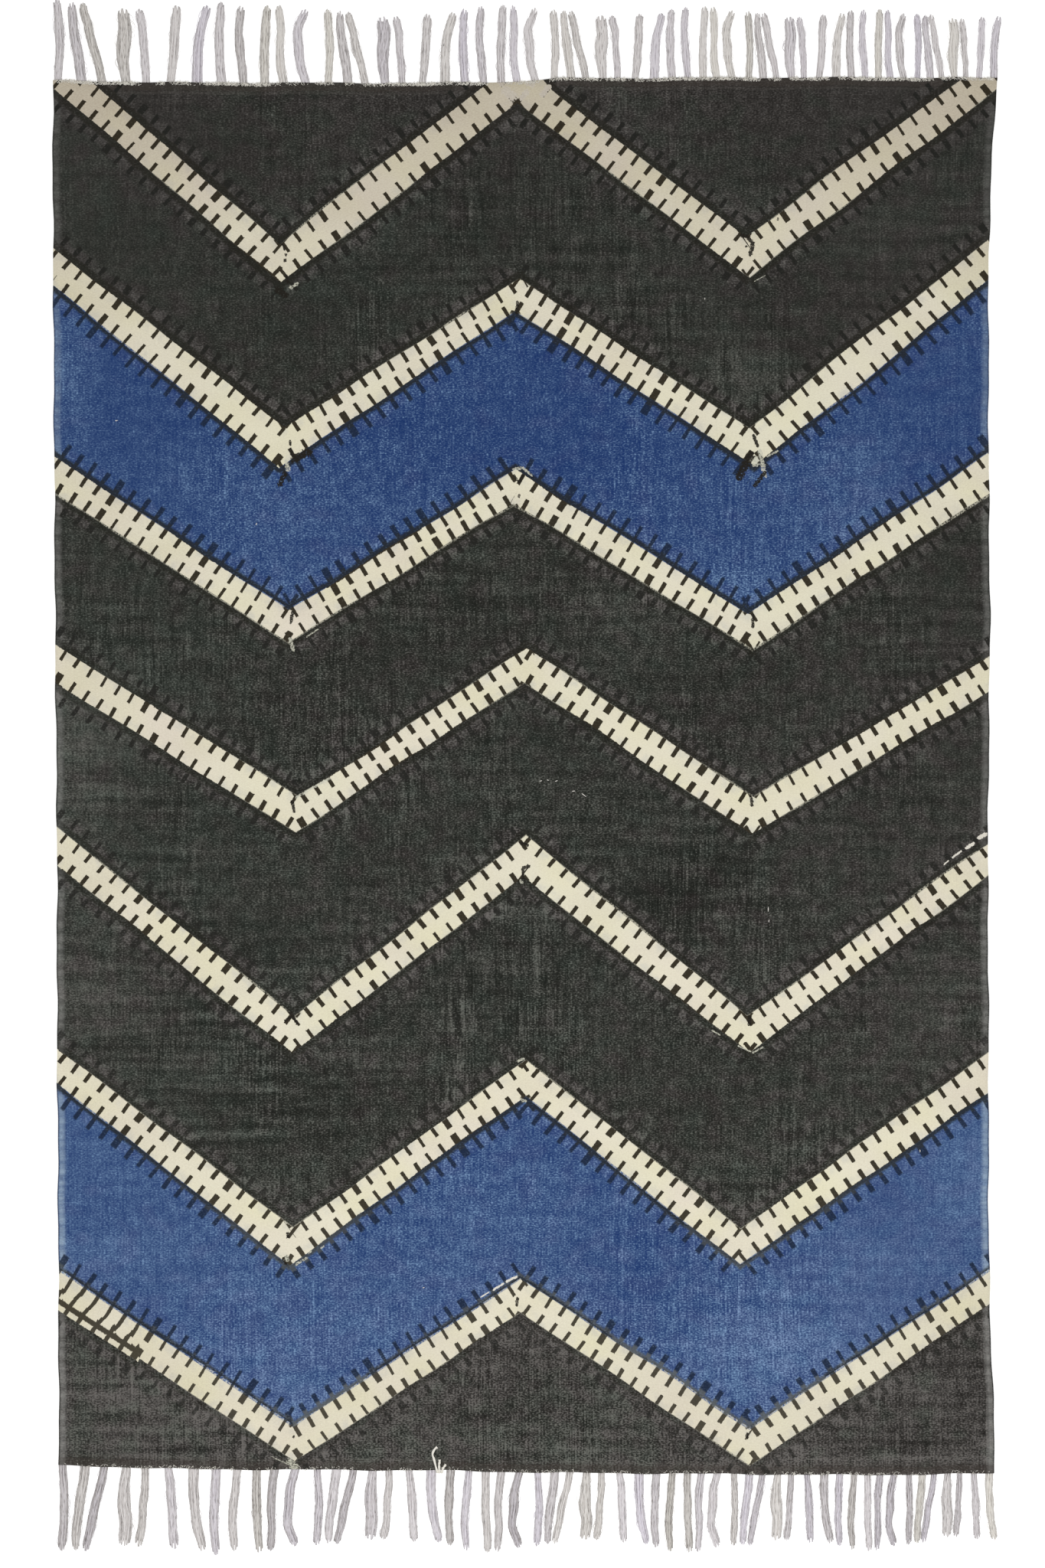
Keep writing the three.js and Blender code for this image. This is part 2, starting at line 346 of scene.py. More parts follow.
def short_edge(end, across):
    return np.interp(across, SHORT_EDGES["across"], SHORT_EDGES[end]) + ripple(across + 300)


def corner_table():
    """Place across and along of each zigzag's five corners, on its upper edge and on its lower edge."""
    table = np.zeros((len(ZIGZAG_CORNERS), 5, 2, 2))
    for zigzag, (left, *turns, right) in enumerate(ZIGZAG_CORNERS):
        table[zigzag, 0] = [(LEFT_END, along) for along in left]
        table[zigzag, 1:4] = np.reshape(turns, (3, 2, 2))
        table[zigzag, 4] = [(RIGHT_END, along) for along in right]
    return table


CORNERS = corner_table()


def crease(corner, along):
    """The line across which the zigzags turn: it runs through one corner of each of them."""
    places = CORNERS[:, corner].reshape(-1, 2)
    places = places[places[:, 1].argsort()]
    return np.interp(along, places[:, 1], places[:, 0])


def rib_stations():
    """The columns of the cloth's grid: the leg that each lies on and how far along it, from 0 to 1."""
    legs, shares = [], []
    for leg, ribs in enumerate(RIBS_PER_LEG):
        widths = 1 + 0.16 * chance.standard_normal(ribs)
        ends = np.concatenate(([0], np.cumsum(widths))) / widths.sum()
        fine = np.interp(np.arange(ribs * COLUMNS_PER_RIB) / COLUMNS_PER_RIB, np.arange(ribs + 1), ends)
        legs.append(np.full(len(fine), leg))
        shares.append(fine)
    legs.append([len(RIBS_PER_LEG) - 1])
    shares.append([1.0])
    return np.concatenate(legs), np.concatenate(shares)


def place_on_cloth(legs, shares, rows, inset):
    """Places across and along for columns and rows, at an inset all round. Columns and rows may be arrays.
    Each place hangs on the other, so a few rounds bring both to rest."""
    last = len(RIBS_PER_LEG)
    across = np.zeros(np.broadcast(legs, rows).shape)
    for _ in range(4):
        low = short_edge("bottom", across) + inset
        high = short_edge("top", across) - inset
        along = low + (high - low) * rows
        lines = [crease(corner, along) for corner in range(1, last)]
        lines = [long_edge("left", along) + inset, *lines, long_edge("right", along) - inset]
        starts = np.choose(np.broadcast_to(legs, across.shape), lines[:last])
        ends = np.choose(np.broadcast_to(legs, across.shape), lines[1:])
        across = starts + (ends - starts) * shares
    return across, along


def edge_distance(across, along):
    """How far a place lies inside the long edges and inside the short edges."""
    to_long = np.minimum(across - long_edge("left", along), long_edge("right", along) - across)
    to_short = np.minimum(short_edge("top", across) - along, along - short_edge("bottom", across))
    return to_long, to_short


def lift(across, along):
    """How far the cloth rises off the floor: small waves along the long edges, and nothing elsewhere."""
    to_long, to_short = edge_distance(across, along)
    near_edge = ramp(to_long, WAVE_REACH, 0) ** 2
    shift = np.where(across > 0, 1.3, 0)
    waves = 0.6 * np.sin(along / 62 + shift) + 0.4 * np.sin(along / 37 + 2.2 * shift)
    return WAVE_HEIGHT * near_edge * ramp(to_short, 0, 160) * np.clip(waves, 0, 1)


def cloth_height(across, along, rib_side):
    """Height of the printed face: ribs along the rug, fuller towards the selvedges, over small waves."""
    to_long, to_short = edge_distance(across, along)
    ribs = RIB_HEIGHT * rib_side * ramp(to_short, 0, 4)
    selvedge = SELVEDGE_HEIGHT * np.exp(-((to_long - SELVEDGE_WIDTH / 2) / (SELVEDGE_WIDTH / 2.4)) ** 2)
    uneven = 0.12 * np.sin(across / 47 + along / 130) * np.sin(along / 83 - across / 210)
    rim = -0.35 * np.exp(-np.minimum(to_long, to_short) / 1.5)
    return THICKNESS + ribs + selvedge + uneven + rim + lift(across, along)


def quads_of(grid):
    """The four-cornered faces of a grid of vertex numbers, anticlockwise as the grid is seen."""
    corners = (grid[:-1, :-1], grid[:-1, 1:], grid[1:, 1:], grid[1:, :-1])
    return np.stack([c.ravel() for c in corners], -1).tolist()


def rim_places(columns):
    """The columns and rows of the grid's rim, once round from its first corner."""
    ring_column = (np.arange(columns), np.full(ROWS, columns), np.arange(columns, 0, -1), np.zeros(ROWS, int))
    ring_row = (np.zeros(columns, int), np.arange(ROWS), np.full(columns, ROWS), np.arange(ROWS, 0, -1))
    return np.concatenate(ring_column), np.concatenate(ring_row)


def underside_faces(ring, columns, coarse, count):
    """A coarse grid of faces inside the rim's lowest ring. The numbers of its own vertices start at count."""
    under = np.zeros((ROWS + 1, len(coarse)), int)
    middle = np.arange(1, ROWS)
    under[0] = ring[coarse]
    under[ROWS] = ring[columns + ROWS + (columns - coarse)]
    under[1:-1, 0] = ring[len(ring) - middle]
    under[1:-1, -1] = ring[columns + middle]
    under[1:-1, 1:-1] = count + np.arange((len(coarse) - 2) * (ROWS - 1)).reshape(ROWS - 1, -1)
    faces = quads_of(under[1:-1, ::-1])
    for i in range(len(coarse) - 1):
        near = ring[coarse[i] + 1:coarse[i + 1]][::-1]
        faces.append([under[0, i], under[1, i], under[1, i + 1], under[0, i + 1], *near])
        start = columns + ROWS + (columns - coarse[i])
        far = ring[start - UNDERSIDE_STEP + 1:start][::-1]
        faces.append([under[-2, i], under[-1, i], *far, under[-1, i + 1], under[-2, i + 1]])
    return faces


def cloth_mesh():
    """The closed cloth: its ribbed face, rounded rim and coarser underside. Gives the vertices, the faces
    and, for each vertex, how many ribs lie to its left."""
    legs, shares = rib_stations()
    columns = len(legs) - 1
    rows = np.linspace(0, 1, ROWS + 1)
    across, along = place_on_cloth(legs[None, :], shares[None, :], rows[:, None], FACE_INSET)
    rib_side = np.where(np.arange(columns + 1) % COLUMNS_PER_RIB == 0, -1.0, 1.0)
    rib_side *= 1 + 0.25 * chance.standard_normal(columns + 1)
    height = cloth_height(across, along, np.broadcast_to(rib_side, across.shape))
    points = [np.stack((across, along, height), -1).reshape(-1, 3)]
    grid = np.arange((ROWS + 1) * (columns + 1)).reshape(ROWS + 1, columns + 1)
    faces = quads_of(grid)

    ring_column, ring_row = rim_places(columns)
    rings = [grid[ring_row, ring_column]]
    count = grid.size
    for inset, level in ((0, THICKNESS - ROUNDING), (0, ROUNDING), (ROUNDING, 0)):
        x, y = place_on_cloth(legs[ring_column], shares[ring_column], rows[ring_row], inset)
        points.append(np.stack((x, y, level + lift(x, y)), -1))
        rings.append(count + np.arange(len(ring_row)))
        count += len(ring_row)
    for upper, lower in zip(rings, rings[1:]):
        after_upper, after_lower = np.roll(upper, -1), np.roll(lower, -1)
        faces += np.stack((lower, after_lower, after_upper, upper), -1).tolist()

    coarse = np.arange(0, columns + 1, UNDERSIDE_STEP)
    inner = coarse[1:-1]
    x, y = place_on_cloth(legs[inner][None, :], shares[inner][None, :], rows[1:-1, None], ROUNDING)
    points.append(np.stack((x, y, lift(x, y)), -1).reshape(-1, 3))
    faces += underside_faces(rings[-1], columns, coarse, count)
    rib_count = np.arange(columns + 1) / COLUMNS_PER_RIB
    rim_ribs, inner_ribs = np.tile(rib_count[ring_column], 3), np.tile(rib_count[inner], ROWS - 1)
    return np.concatenate(points), faces, np.concatenate((np.tile(rib_count, ROWS + 1), rim_ribs, inner_ribs))


# The layout of the print

def leg_table():
    """For each zigzag, leg and line: the place of the valley's corner, the direction away from it and the one
    outward of the cream, the leg's length, and the phase of the print at the valley. The phase goes up by 1
    for each millimetre along a line, and a printing block starts at each multiple of BLOCK_LENGTH."""
    table = np.zeros((len(ZIGZAG_CORNERS), len(LEG_ENDS), 2, 8))
    for zigzag, leg, line in np.ndindex(table.shape[:3]):
        valley, far = CORNERS[zigzag, LEG_ENDS[leg], line]
        length = np.linalg.norm(far - valley)
        along = (far - valley) / length
        outward = np.array((-along[1], along[0])) * np.sign(along[0]) * (1 - 2 * line)
        blocks_before = BLOCKS_APART * (8 * zigzag + 2 * leg + line)
        phase = blocks_before * BLOCK_LENGTH - BLOCK_STARTS[zigzag][line][leg]
        table[zigzag, leg, line] = (*valley, *along, *outward, length, phase)
    return table


def middle_lines(across):
    """How far along the middle of each zigzag lies at these places across."""
    return np.stack([np.interp(across, *middles.T) for middles in CORNERS.mean(2)])


def line_values(rows, places):
    """For each place: its phase, how far outward of its leg's line it is, and how far inside the leg's two
    ends. rows are those of leg_table."""
    offset = places - rows[:, 0:2]
    along = (offset * rows[:, 2:4]).sum(-1)
    outward = (offset * rows[:, 4:6]).sum(-1)
    length, phase = rows[:, 6], rows[:, 7]
    return along + phase, outward, np.minimum(along, length - along)


def print_values(places, middles):
    """For each corner of a face, the values of the leg that its face lies by and of the leg beside that one.
    Also says which of them are close to where two legs meet."""
    table = leg_table()
    across, along = middles[:, 0], middles[:, 1]
    zigzag = np.abs(middle_lines(across) - along).argmin(0)
    creases = np.stack([crease(corner, along) for corner in (1, 2, 3)])
    leg = (creases < across).sum(0)
    nearest = np.abs(creases - across).argmin(0)
    beside = np.where(leg > nearest, nearest, nearest + 1)
    values = {}
    for line, name in enumerate(("upper", "lower")):
        values[name] = line_values(table[zigzag, leg, line], places)
        values[name + "_beside"] = line_values(table[zigzag, beside, line], places)
    return values, np.abs(creases - across).min(0) < CREASE_REACH


def from_marks(marks, places):
    """Where places lie from marks: along the mark from its middle, across it, and half the mark's length."""
    half = (marks[:, 2:4] - marks[:, 0:2]) / 2
    half_length = np.linalg.norm(half, axis=1)
    direction = half / half_length[:, None]
    offset = places - (marks[:, 0:2] + marks[:, 2:4]) / 2
    along = (offset * direction).sum(-1)
    off = offset[..., 0] * direction[:, 1] - offset[..., 1] * direction[:, 0]
    return np.stack((along, off, 0 * off + half_length))


def store_marks(mesh, places, middles, corner_face):
    """Stores how far each corner of a face lies from the marks nearest to the face, in half widths of the
    mark. Says which faces have a mark near them."""
    marked = np.zeros(len(middles), bool)
    for name, rows in MARKS.items():
        marks = np.array(rows)
        along, off, half_length = from_marks(marks, middles[:, None])
        distance = np.hypot(np.maximum(np.abs(along) - half_length, 0), off)
        marked |= distance.min(1) < MARK_REACH
        order = distance.argsort(1)
        for rank in range(MARKS_BY_A_FACE[name]):
            own = marks[order[corner_face, rank]]
            store(mesh, name + str(rank), "CORNER", from_marks(own, places) / own[:, 4])
    return marked


# Materials

def math_node(operation):
    """A method of Signal that does one kind of arithmetic."""
    def method(*values):
        return made(values[0].tree, "Math", 0, dict(enumerate(values)), operation=operation)
    return method


class Signal:
    """One value inside a material, which takes ordinary arithmetic."""

    __add__ = __radd__ = math_node("ADD")
    __sub__ = math_node("SUBTRACT")
    __mul__ = __rmul__ = math_node("MULTIPLY")
    __truediv__ = math_node("DIVIDE")
    exceeds = math_node("GREATER_THAN")
    is_below = math_node("LESS_THAN")
    larger = math_node("MAXIMUM")
    size = math_node("ABSOLUTE")
    sign = math_node("SIGN")
    floor = math_node("FLOOR")
    nearest_whole = math_node("ROUND")
    remainder = math_node("FLOORED_MODULO")
    root = math_node("SQRT")
    cosine = math_node("COSINE")
    power_of_e = math_node("EXPONENT")

    def __init__(self, tree, socket):
        self.tree = tree
        self.socket = socket

    def __rsub__(self, other):
        return (self * -1) + other

    def rises(self, low, high):
        """Goes smoothly from 0 to 1 as this value goes from low to high."""
        inputs = {"Value": self, "From Min": low, "From Max": high}
        return made(self.tree, "MapRange", "Result", inputs, interpolation_type="SMOOTHSTEP")

    def falls(self, low, high):
        return 1 - self.rises(low, high)

    def between(self, low, in_full, full_until, high):
        """1 from in_full to full_until, and 0 below low and above high."""
        return self.rises(low, in_full) * self.falls(full_until, high)

    def random(self):
        """A number from 0 to 1 that belongs to this value."""
        return made(self.tree, "TexWhiteNoise", "Value", {"W": self}, noise_dimensions="1D")

    def flutter(self, detail):
        """A number round 0.5 that changes softly at random, about once for each 1 that this value goes up."""
        inputs = {"W": self, "Scale": 1.0, "Detail": detail}
        return made(self.tree, "TexNoise", 0, inputs, noise_dimensions="1D")


def feed(tree, socket, value):
    if isinstance(value, Signal):
        tree.links.new(value.socket, socket)
    else:
        socket.default_value = value


def made(tree, kind, output, inputs=None, **settings):
    """One output of a new node. inputs holds the value or the Signal of each socket that it names."""
    node = tree.nodes.new("ShaderNode" + kind)
    for name, value in settings.items():
        setattr(node, name, value)
    for name, value in (inputs or {}).items():
        feed(tree, node.inputs[name], value)
    return Signal(tree, node.outputs[output])


class Paint:
    """The nodes of one material, with the noises and colour mixes that these cloths need."""

    def __init__(self, name):
        self.material = bpy.data.materials.new(name)
        self.material.use_nodes = True
        self.tree = self.material.node_tree
        self.shader = self.tree.nodes["Principled BSDF"]
        inputs = {0: made(self.tree, "TexCoord", "Object"), "Scale": 1 / MM}
        self.place = made(self.tree, "VectorMath", "Vector", inputs, operation="SCALE")
        self.across, self.along, _ = self.parts(self.place)

    def parts(self, vector):
        node = made(self.tree, "SeparateXYZ", 0, {0: vector}).socket.node
        return [Signal(self.tree, output) for output in node.outputs]

    def attribute(self, name):
        return made(self.tree, "Attribute", "Vector", attribute_name=name)

    def values(self, name):
        return self.parts(self.attribute(name))

    def noise(self, wide, tall, seed, detail, roughness=0.5):
        """Soft random spots of about this width and length, from 0 to 1 with 0.5 as their middle."""
        offset = (31.7 * seed, 17.3 * seed, 0)
        inputs = {"Vector": self.place, "Scale": (1 / wide, 1 / tall, 1), "Location": offset}
        mapped = made(self.tree, "Mapping", "Vector", inputs)
        inputs = {"Vector": mapped, "Scale": 1.0, "Detail": detail, "Roughness": roughness}
        return made(self.tree, "TexNoise", 0, inputs, noise_dimensions="2D")

    def mix(self, first, second, share):
        """A colour that goes from first to second as share goes from 0 to 1."""
        return made(self.tree, "Mix", 2, {0: share, 6: first, 7: second}, data_type="RGBA")

    def choose(self, first, second, share):
        """The parts of one vector or, where share is 1, of the other."""
        return self.parts(made(self.tree, "Mix", 1, {0: share, 4: first, 5: second}, data_type="VECTOR"))

    def finish(self, colour, relief, strength, roughness, specular):
        """Relief is in millimetres."""
        inputs = {"Strength": strength, "Distance": MM, "Height": relief}
        normal = made(self.tree, "Bump", "Normal", inputs)
        looks = {
            "Base Color": colour, "Normal": normal, "Roughness": roughness, "Specular IOR Level": specular,
        }
        for name, value in looks.items():
            feed(self.tree, self.shader.inputs[name], value)
        return self.material


def light_of(shown):
    """The light that a picture shows as a number from 11 to 255."""
    return ((shown / 255 + 0.055) / 1.055) ** 2.4


def linear(*shown):
    """The colour whose red, green and blue a picture shows as these numbers."""
    return (*(light_of(part) for part in shown), 1.0)


# Grounds, each from its darkest to its lightest
CHARCOAL = (linear(24, 26, 22), linear(104, 105, 99))
BROWN_CHARCOAL = (linear(32, 27, 26), linear(108, 101, 100))
GREEN_CHARCOAL = (linear(23, 30, 25), linear(98, 107, 99))
BLUE = (linear(20, 49, 104), linear(124, 155, 191))
VIOLET_BLUE = (linear(36, 48, 100), linear(138, 148, 188))

CREAM = linear(231, 226, 203)
CREAM_PINK = linear(230, 221, 204)
CREAM_YELLOW = linear(230, 225, 192)
CREAM_GREY = linear(196, 196, 190)
CLEAR_COTTON = linear(232, 228, 216)
# Darker cream: painted shade towards the top end, and darkening elsewhere
DARKER_CREAM_AND_PAINTED_SHADE = linear(174, 160, 142)
INK_ON_CREAM = linear(42, 36, 24)
INK_BESIDE_CREAM = linear(36, 34, 28)
INK_ON_CHARCOAL = linear(36, 36, 33)
INK_ON_BLUE = linear(27, 38, 58)
INK_LINE_ON_BLUE = linear(37, 40, 41)
FADED_LINE_ON_BLUE = linear(88, 92, 93)
BLOT = linear(36, 33, 28)
BARE_COTTON = linear(200, 199, 182)
# Pale crown of the selvedge: faded print with a painted highlight
CROWN_FADE_AND_HIGHLIGHT_ON_CHARCOAL = linear(168, 167, 163)
CROWN_FADE_AND_HIGHLIGHT_ON_BLUE = linear(170, 190, 205)
SELVEDGE_SIDE = linear(58, 60, 58)
HEM_LINE = linear(112, 106, 100)
SHORT_EDGE_WEAR = linear(70, 63, 58)
BACK_OF_CHARCOAL = linear(176, 170, 156)
BACK_OF_BLUE = linear(150, 156, 160)
BACK_SPOTS = linear(116, 112, 104)
WARM_YARN = linear(229, 225, 218)
COOL_YARN = linear(222, 217, 225)
# Darker yarn, also used for the painted shade at the strands' sides
DARK_YARN_AND_PAINTED_SHADE = linear(130, 124, 120)
PALE_YARN = linear(236, 232, 222)


def nearer_line(paint, leg):
    """The values of the upper or lower line of a leg, whichever is the nearer outward."""
    upper, lower = paint.attribute("upper" + leg), paint.attribute("lower" + leg)
    out_upper, out_lower = paint.parts(upper)[1], paint.parts(lower)[1]
    return paint.choose(upper, lower, out_lower.exceeds(out_upper))


def block_number(phase):
    return (phase / BLOCK_LENGTH + 0.5 / TICKS_PER_BLOCK).floor()


def ink_share(paint, line, ragged, line_start, double):
    """How much ink a place carries: a line beside the cream, and ticks across it, with a thick one at the
    start of each printing block. double is 1 where the block was printed twice."""
    phase, outward, inside = line
    pitch = BLOCK_LENGTH / TICKS_PER_BLOCK
    block = block_number(phase)
    outward = outward + ragged + block.random() * 1.8 - 0.9
    number = (phase / pitch).nearest_whole()
    luck = number.random()
    other_luck = (number + 0.37).random()

    thick = (number.remainder(TICKS_PER_BLOCK) + 0.5).is_below(1.0)
    slant = outward * (other_luck - 0.5) * 0.10
    off_tick = (phase - number * pitch + (luck - 0.5) * 1.4 + slant + ragged * 0.6).size()
    half_width = TICK_HALF_WIDTH + (THICK_TICK_HALF_WIDTH - TICK_HALF_WIDTH) * thick
    half_width = half_width + (other_luck - 0.5) * 0.7 + (block.random() - 0.5) * 0.9
    half_width = half_width + outward.rises(6, 12) * 0.4 + double * 0.5
    inner_end = (other_luck - 0.5) * 1.8 - TICK_INWARD + paint.along.falls(-200, 500) * 1.1
    inner_end = inner_end - double * DOUBLED_TICK_INWARD
    outer_end = (luck - 0.5) * 3.4 + TICK_OUTWARD
    soft = outward.rises(-2, 6) * 0.35 + 0.3
    tick = ((off_tick - half_width) / soft).falls(-1, 1)
    tick = tick * (outward - inner_end).rises(-0.3, 0.3) * (outward - outer_end).falls(-1.5, 1.5)

    blue = paint.values("ground")[1]
    stripe = ((outward - LINE_WIDTH + blue * 2.2) / (blue * 0.7 + 1)).falls(-1.5, 1.2)
    stripe = stripe * (outward - line_start).rises(-0.3, 0.3)
    is_lower = ((phase / BLOCK_LENGTH + 3) / BLOCKS_APART).floor().remainder(2)
    second = (outward + SECOND_LINE_INWARD).size().falls(2.8, 4.0) * double * is_lower
    ink = tick.larger(stripe).larger(second)
    return ink * inside.rises(-4.5, -3.5)


def mark_share(paint, name, ragged):
    """How much a place belongs to one of the small marks of this name."""
    share = ragged * 0
    for rank in range(MARKS_BY_A_FACE[name]):
        along, off, half_length = paint.values(name + str(rank))
        beyond = (along.size() - half_length).larger(0.0)
        distance = (beyond * beyond + off * off).root() + (ragged - 0.5) * 1.5
        share = share.larger(distance.falls(0.85, 1.15))
    return share


def ground_colour(paint, speck, rib, halo):
    """The printed ground: fine grain, streaks along the ribs, bands along the weft, and places where the
    print is paler from wear.
    """
    base, blue, tint = paint.values("ground")
    streaky, banded, rough_print = paint.values("unevenness")
    streaky = streaky * (1 - 0.5 * blue)
    grain = paint.noise(16, 14, 1, 3.0, 0.75) - 0.5
    strokes = paint.noise(1.7, 45, 8, 1.0) - 0.5
    hue = (paint.noise(30, 24, 2, 0.0) - 0.5) * 1.6 + tint + halo * 0.7
    column = paint.noise(5.5, 70, 10, 2.0) - 0.5
    band = paint.noise(170, 12, 11, 2.0) - 0.5
    ridge = (rib * (2 * math.pi)).cosine()

    rough = grain * 3.2 + (speck - 0.5) * 5.6 + strokes * (0.7 + 2.2 * streaky)
    rough = rough + column * (0.9 + 4.5 * streaky)
    rough = rough + ridge * (paint.along.falls(-850, 0) * 0.14 + 0.08 + 0.3 * streaky)
    rough = rough + band * (banded + 0.4 * streaky) * (7 - 4 * blue)
    rough = rough + speck.rises(0.64, 0.80) * (0.3 + 1.5 * streaky)
    contrast = rough_print + blue * (paint.along * 0.0004 - 0.04)
    soft = base + halo * rough_print * (0.22 - 0.17 * blue) * (1 + grain * 3.2)
    tone = soft.larger(0.06) * (rough * contrast).power_of_e()
    tone = 1 - (tone * -1.14).power_of_e()

    charcoal = paint.mix(*CHARCOAL, tone)
    charcoal = paint.mix(charcoal, paint.mix(*BROWN_CHARCOAL, tone), hue.rises(0, 0.7) * 0.55)
    charcoal = paint.mix(charcoal, paint.mix(*GREEN_CHARCOAL, tone), hue.falls(-0.7, 0) * 0.45)
    sea = paint.mix(*BLUE, tone)
    sea = paint.mix(sea, paint.mix(*VIOLET_BLUE, tone), hue.rises(0, 0.7) * 0.25)
    return paint.mix(charcoal, sea, blue)


def edge_wear(paint, ground, to_long, to_short):
    """The selvedge's crown, paler from faded print and from a painted highlight on the raised cord, its dark
    outer side, and the hem line near the short ends.
    """
    blue = paint.values("ground")[1]
    crown = to_long.between(1.0, 2.4, 5.0, 12.0)
    turns = ((paint.along + 3 * paint.across.sign()) / 9).flutter(4.0).rises(0.25, 0.75)
    # Painted highlight: the cord's crown is lightened as if catching the light, along with the print's fading
    # there; stronger towards the bottom
    fade_and_highlight = 0.20 - paint.along * 0.00012 + blue * (0.09 - paint.along * 0.00006)
    pale = paint.mix(CROWN_FADE_AND_HIGHLIGHT_ON_CHARCOAL, CROWN_FADE_AND_HIGHLIGHT_ON_BLUE, blue)
    ground = paint.mix(ground, pale, crown * fade_and_highlight * (0.6 + turns * 0.9))
    ground = paint.mix(ground, SELVEDGE_SIDE, to_long.falls(0.8, 2.0) * 0.55)
    ground = paint.mix(ground, HEM_LINE, to_short.between(11.5, 13, 14, 16) * 0.12)
    return paint.mix(ground, SHORT_EDGE_WEAR, to_short.falls(9, 13) * 0.45)


def ink_on_ground(paint, ground, ink, line, outward, grey, speck, fleck):
    """Ink over the ground: patchy and faded on the blue towards the bottom, fainter on the charcoal."""
    blue = paint.values("ground")[1]
    patchy = grey * 0.7 + block_number(line[0]).random() * 0.6 + (speck - 0.5) * 0.5
    patchy = (patchy - outward.falls(2.5, 5.0) * 0.25).rises(0.25, 0.75)
    faded = paint.along.falls(-780, -420) * patchy
    near_ink = paint.mix(INK_BESIDE_CREAM, paint.mix(INK_LINE_ON_BLUE, FADED_LINE_ON_BLUE, faded), blue)
    far_ink = paint.mix(INK_ON_CHARCOAL, INK_ON_BLUE, blue)
    colour = paint.mix(near_ink, far_ink, outward.rises(8, 11))
    on_charcoal = outward.rises(8, 12) * 0.40 + 0.52 + paint.along * 0.0002
    strength = on_charcoal + (0.92 - on_charcoal) * blue
    return paint.mix(ground, colour, ink * strength * (1 - fleck * (0.4 - 0.25 * blue)))


def inked_colour(paint, legs, speck, rib, to_long, to_short):
    wander, line_start, double = paint.values("register")
    pink, yellow, darker_and_painted_shade = paint.values("cream")
    ragged = paint.noise(2.4, 3.2, 4, 1.0)
    grey = paint.noise(17, 17, 9, 2.0)
    fleck = speck.rises(0.57, 0.80)
    shift = wander + (ragged - 0.5) * 1.7
    lines = [nearer_line(paint, leg) for leg in legs]
    ink = ink_share(paint, lines[0], shift, line_start, double)
    for line in lines[1:]:
        ink = ink.larger(ink_share(paint, line, shift, line_start, 0.0))
    outward = lines[0][1] + shift

    halo = outward.between(6, 9.5, 12, 25) * lines[0][2].rises(-2, 8)
    ground = edge_wear(paint, ground_colour(paint, speck, rib, halo), to_long, to_short)
    gap = (outward - line_start).falls(-0.5, 0.8) * ragged.rises(0.35, 0.6) * 0.55
    ground = paint.mix(ground, CREAM, gap)
    on_ground = ink_on_ground(paint, ground, ink, lines[0], outward, grey, speck, fleck)

    # The cream's darkening with specks: painted shade towards the top end, where the light falls off, and
    # darker towards the bottom end, the long sides and in patches
    cream_darker_and_painted_shade = darker_and_painted_shade + (speck - 0.35) * 0.35
    cream = paint.mix(paint.mix(CREAM, CREAM_PINK, pink), CREAM_YELLOW, yellow)
    cream = paint.mix(cream, CREAM_GREY, outward.rises(-15, -3) * grey.rises(0.4, 0.75) * 0.45)
    cream = paint.mix(cream, DARKER_CREAM_AND_PAINTED_SHADE, cream_darker_and_painted_shade)
    strength = 0.935 + paint.along.rises(-860, -380) * 0.048 - fleck * 0.04
    on_cream = paint.mix(cream, INK_ON_CREAM, ink * strength)
    printed = paint.mix(on_ground, on_cream, outward.falls(-0.25, 0.25))
    if len(legs) == 1:
        return printed
    bare = mark_share(paint, "bare", ragged) * (speck.rises(0.3, 0.6) * 0.75 + 0.15)
    printed = paint.mix(printed, BARE_COTTON, bare)
    printed = paint.mix(printed, BLOT, mark_share(paint, "blot", ragged) * (0.97 - fleck * 0.5))
    clear = mark_share(paint, "clear", ragged) * 0.95
    return paint.mix(printed, paint.mix(CLEAR_COTTON, DARKER_CREAM_AND_PAINTED_SHADE, cream_darker_and_painted_shade), clear)


def weave_height(paint, rib):
    """Relief of a weft-faced weave in millimetres: rounded ribs, and picks that cross them by turns."""
    across_rib = (rib * (2 * math.pi)).cosine()
    turn = (rib * math.pi).cosine() * (paint.along * (math.pi / PICK)).cosine()
    return across_rib * -0.16 + turn * 0.12 + paint.noise(1.6, 1.6, 5, 0.0) * 0.3


def printed_cotton(name, legs):
    """Block-printed flat-woven cotton. legs lists the legs of a zigzag that reach the faces with this
    material; where two of them meet, the print has small marks too."""
    paint = Paint(name)
    rib, to_long, to_short = paint.values("cloth")
    speck = paint.noise(2.9, 1.7, 3, 1.0)
    if legs:
        colour = inked_colour(paint, legs, speck, rib, to_long, to_short)
    else:
        colour = edge_wear(paint, ground_colour(paint, speck, rib, 0.0), to_long, to_short)
    return paint.finish(colour, weave_height(paint, rib), 0.6, roughness=0.95, specular=0.12)


def cloth_back():
    """The unprinted back: undyed cotton through which the dark print shows faintly."""
    paint = Paint("cloth_back")
    rib = paint.values("cloth")[0]
    blue = paint.values("ground")[1]
    colour = paint.mix(BACK_OF_CHARCOAL, BACK_OF_BLUE, blue)
    colour = paint.mix(colour, BACK_SPOTS, paint.noise(6, 9, 6, 2.0).rises(0.4, 0.7))
    return paint.finish(colour, weave_height(paint, rib), 0.6, roughness=0.95, specular=0.12)


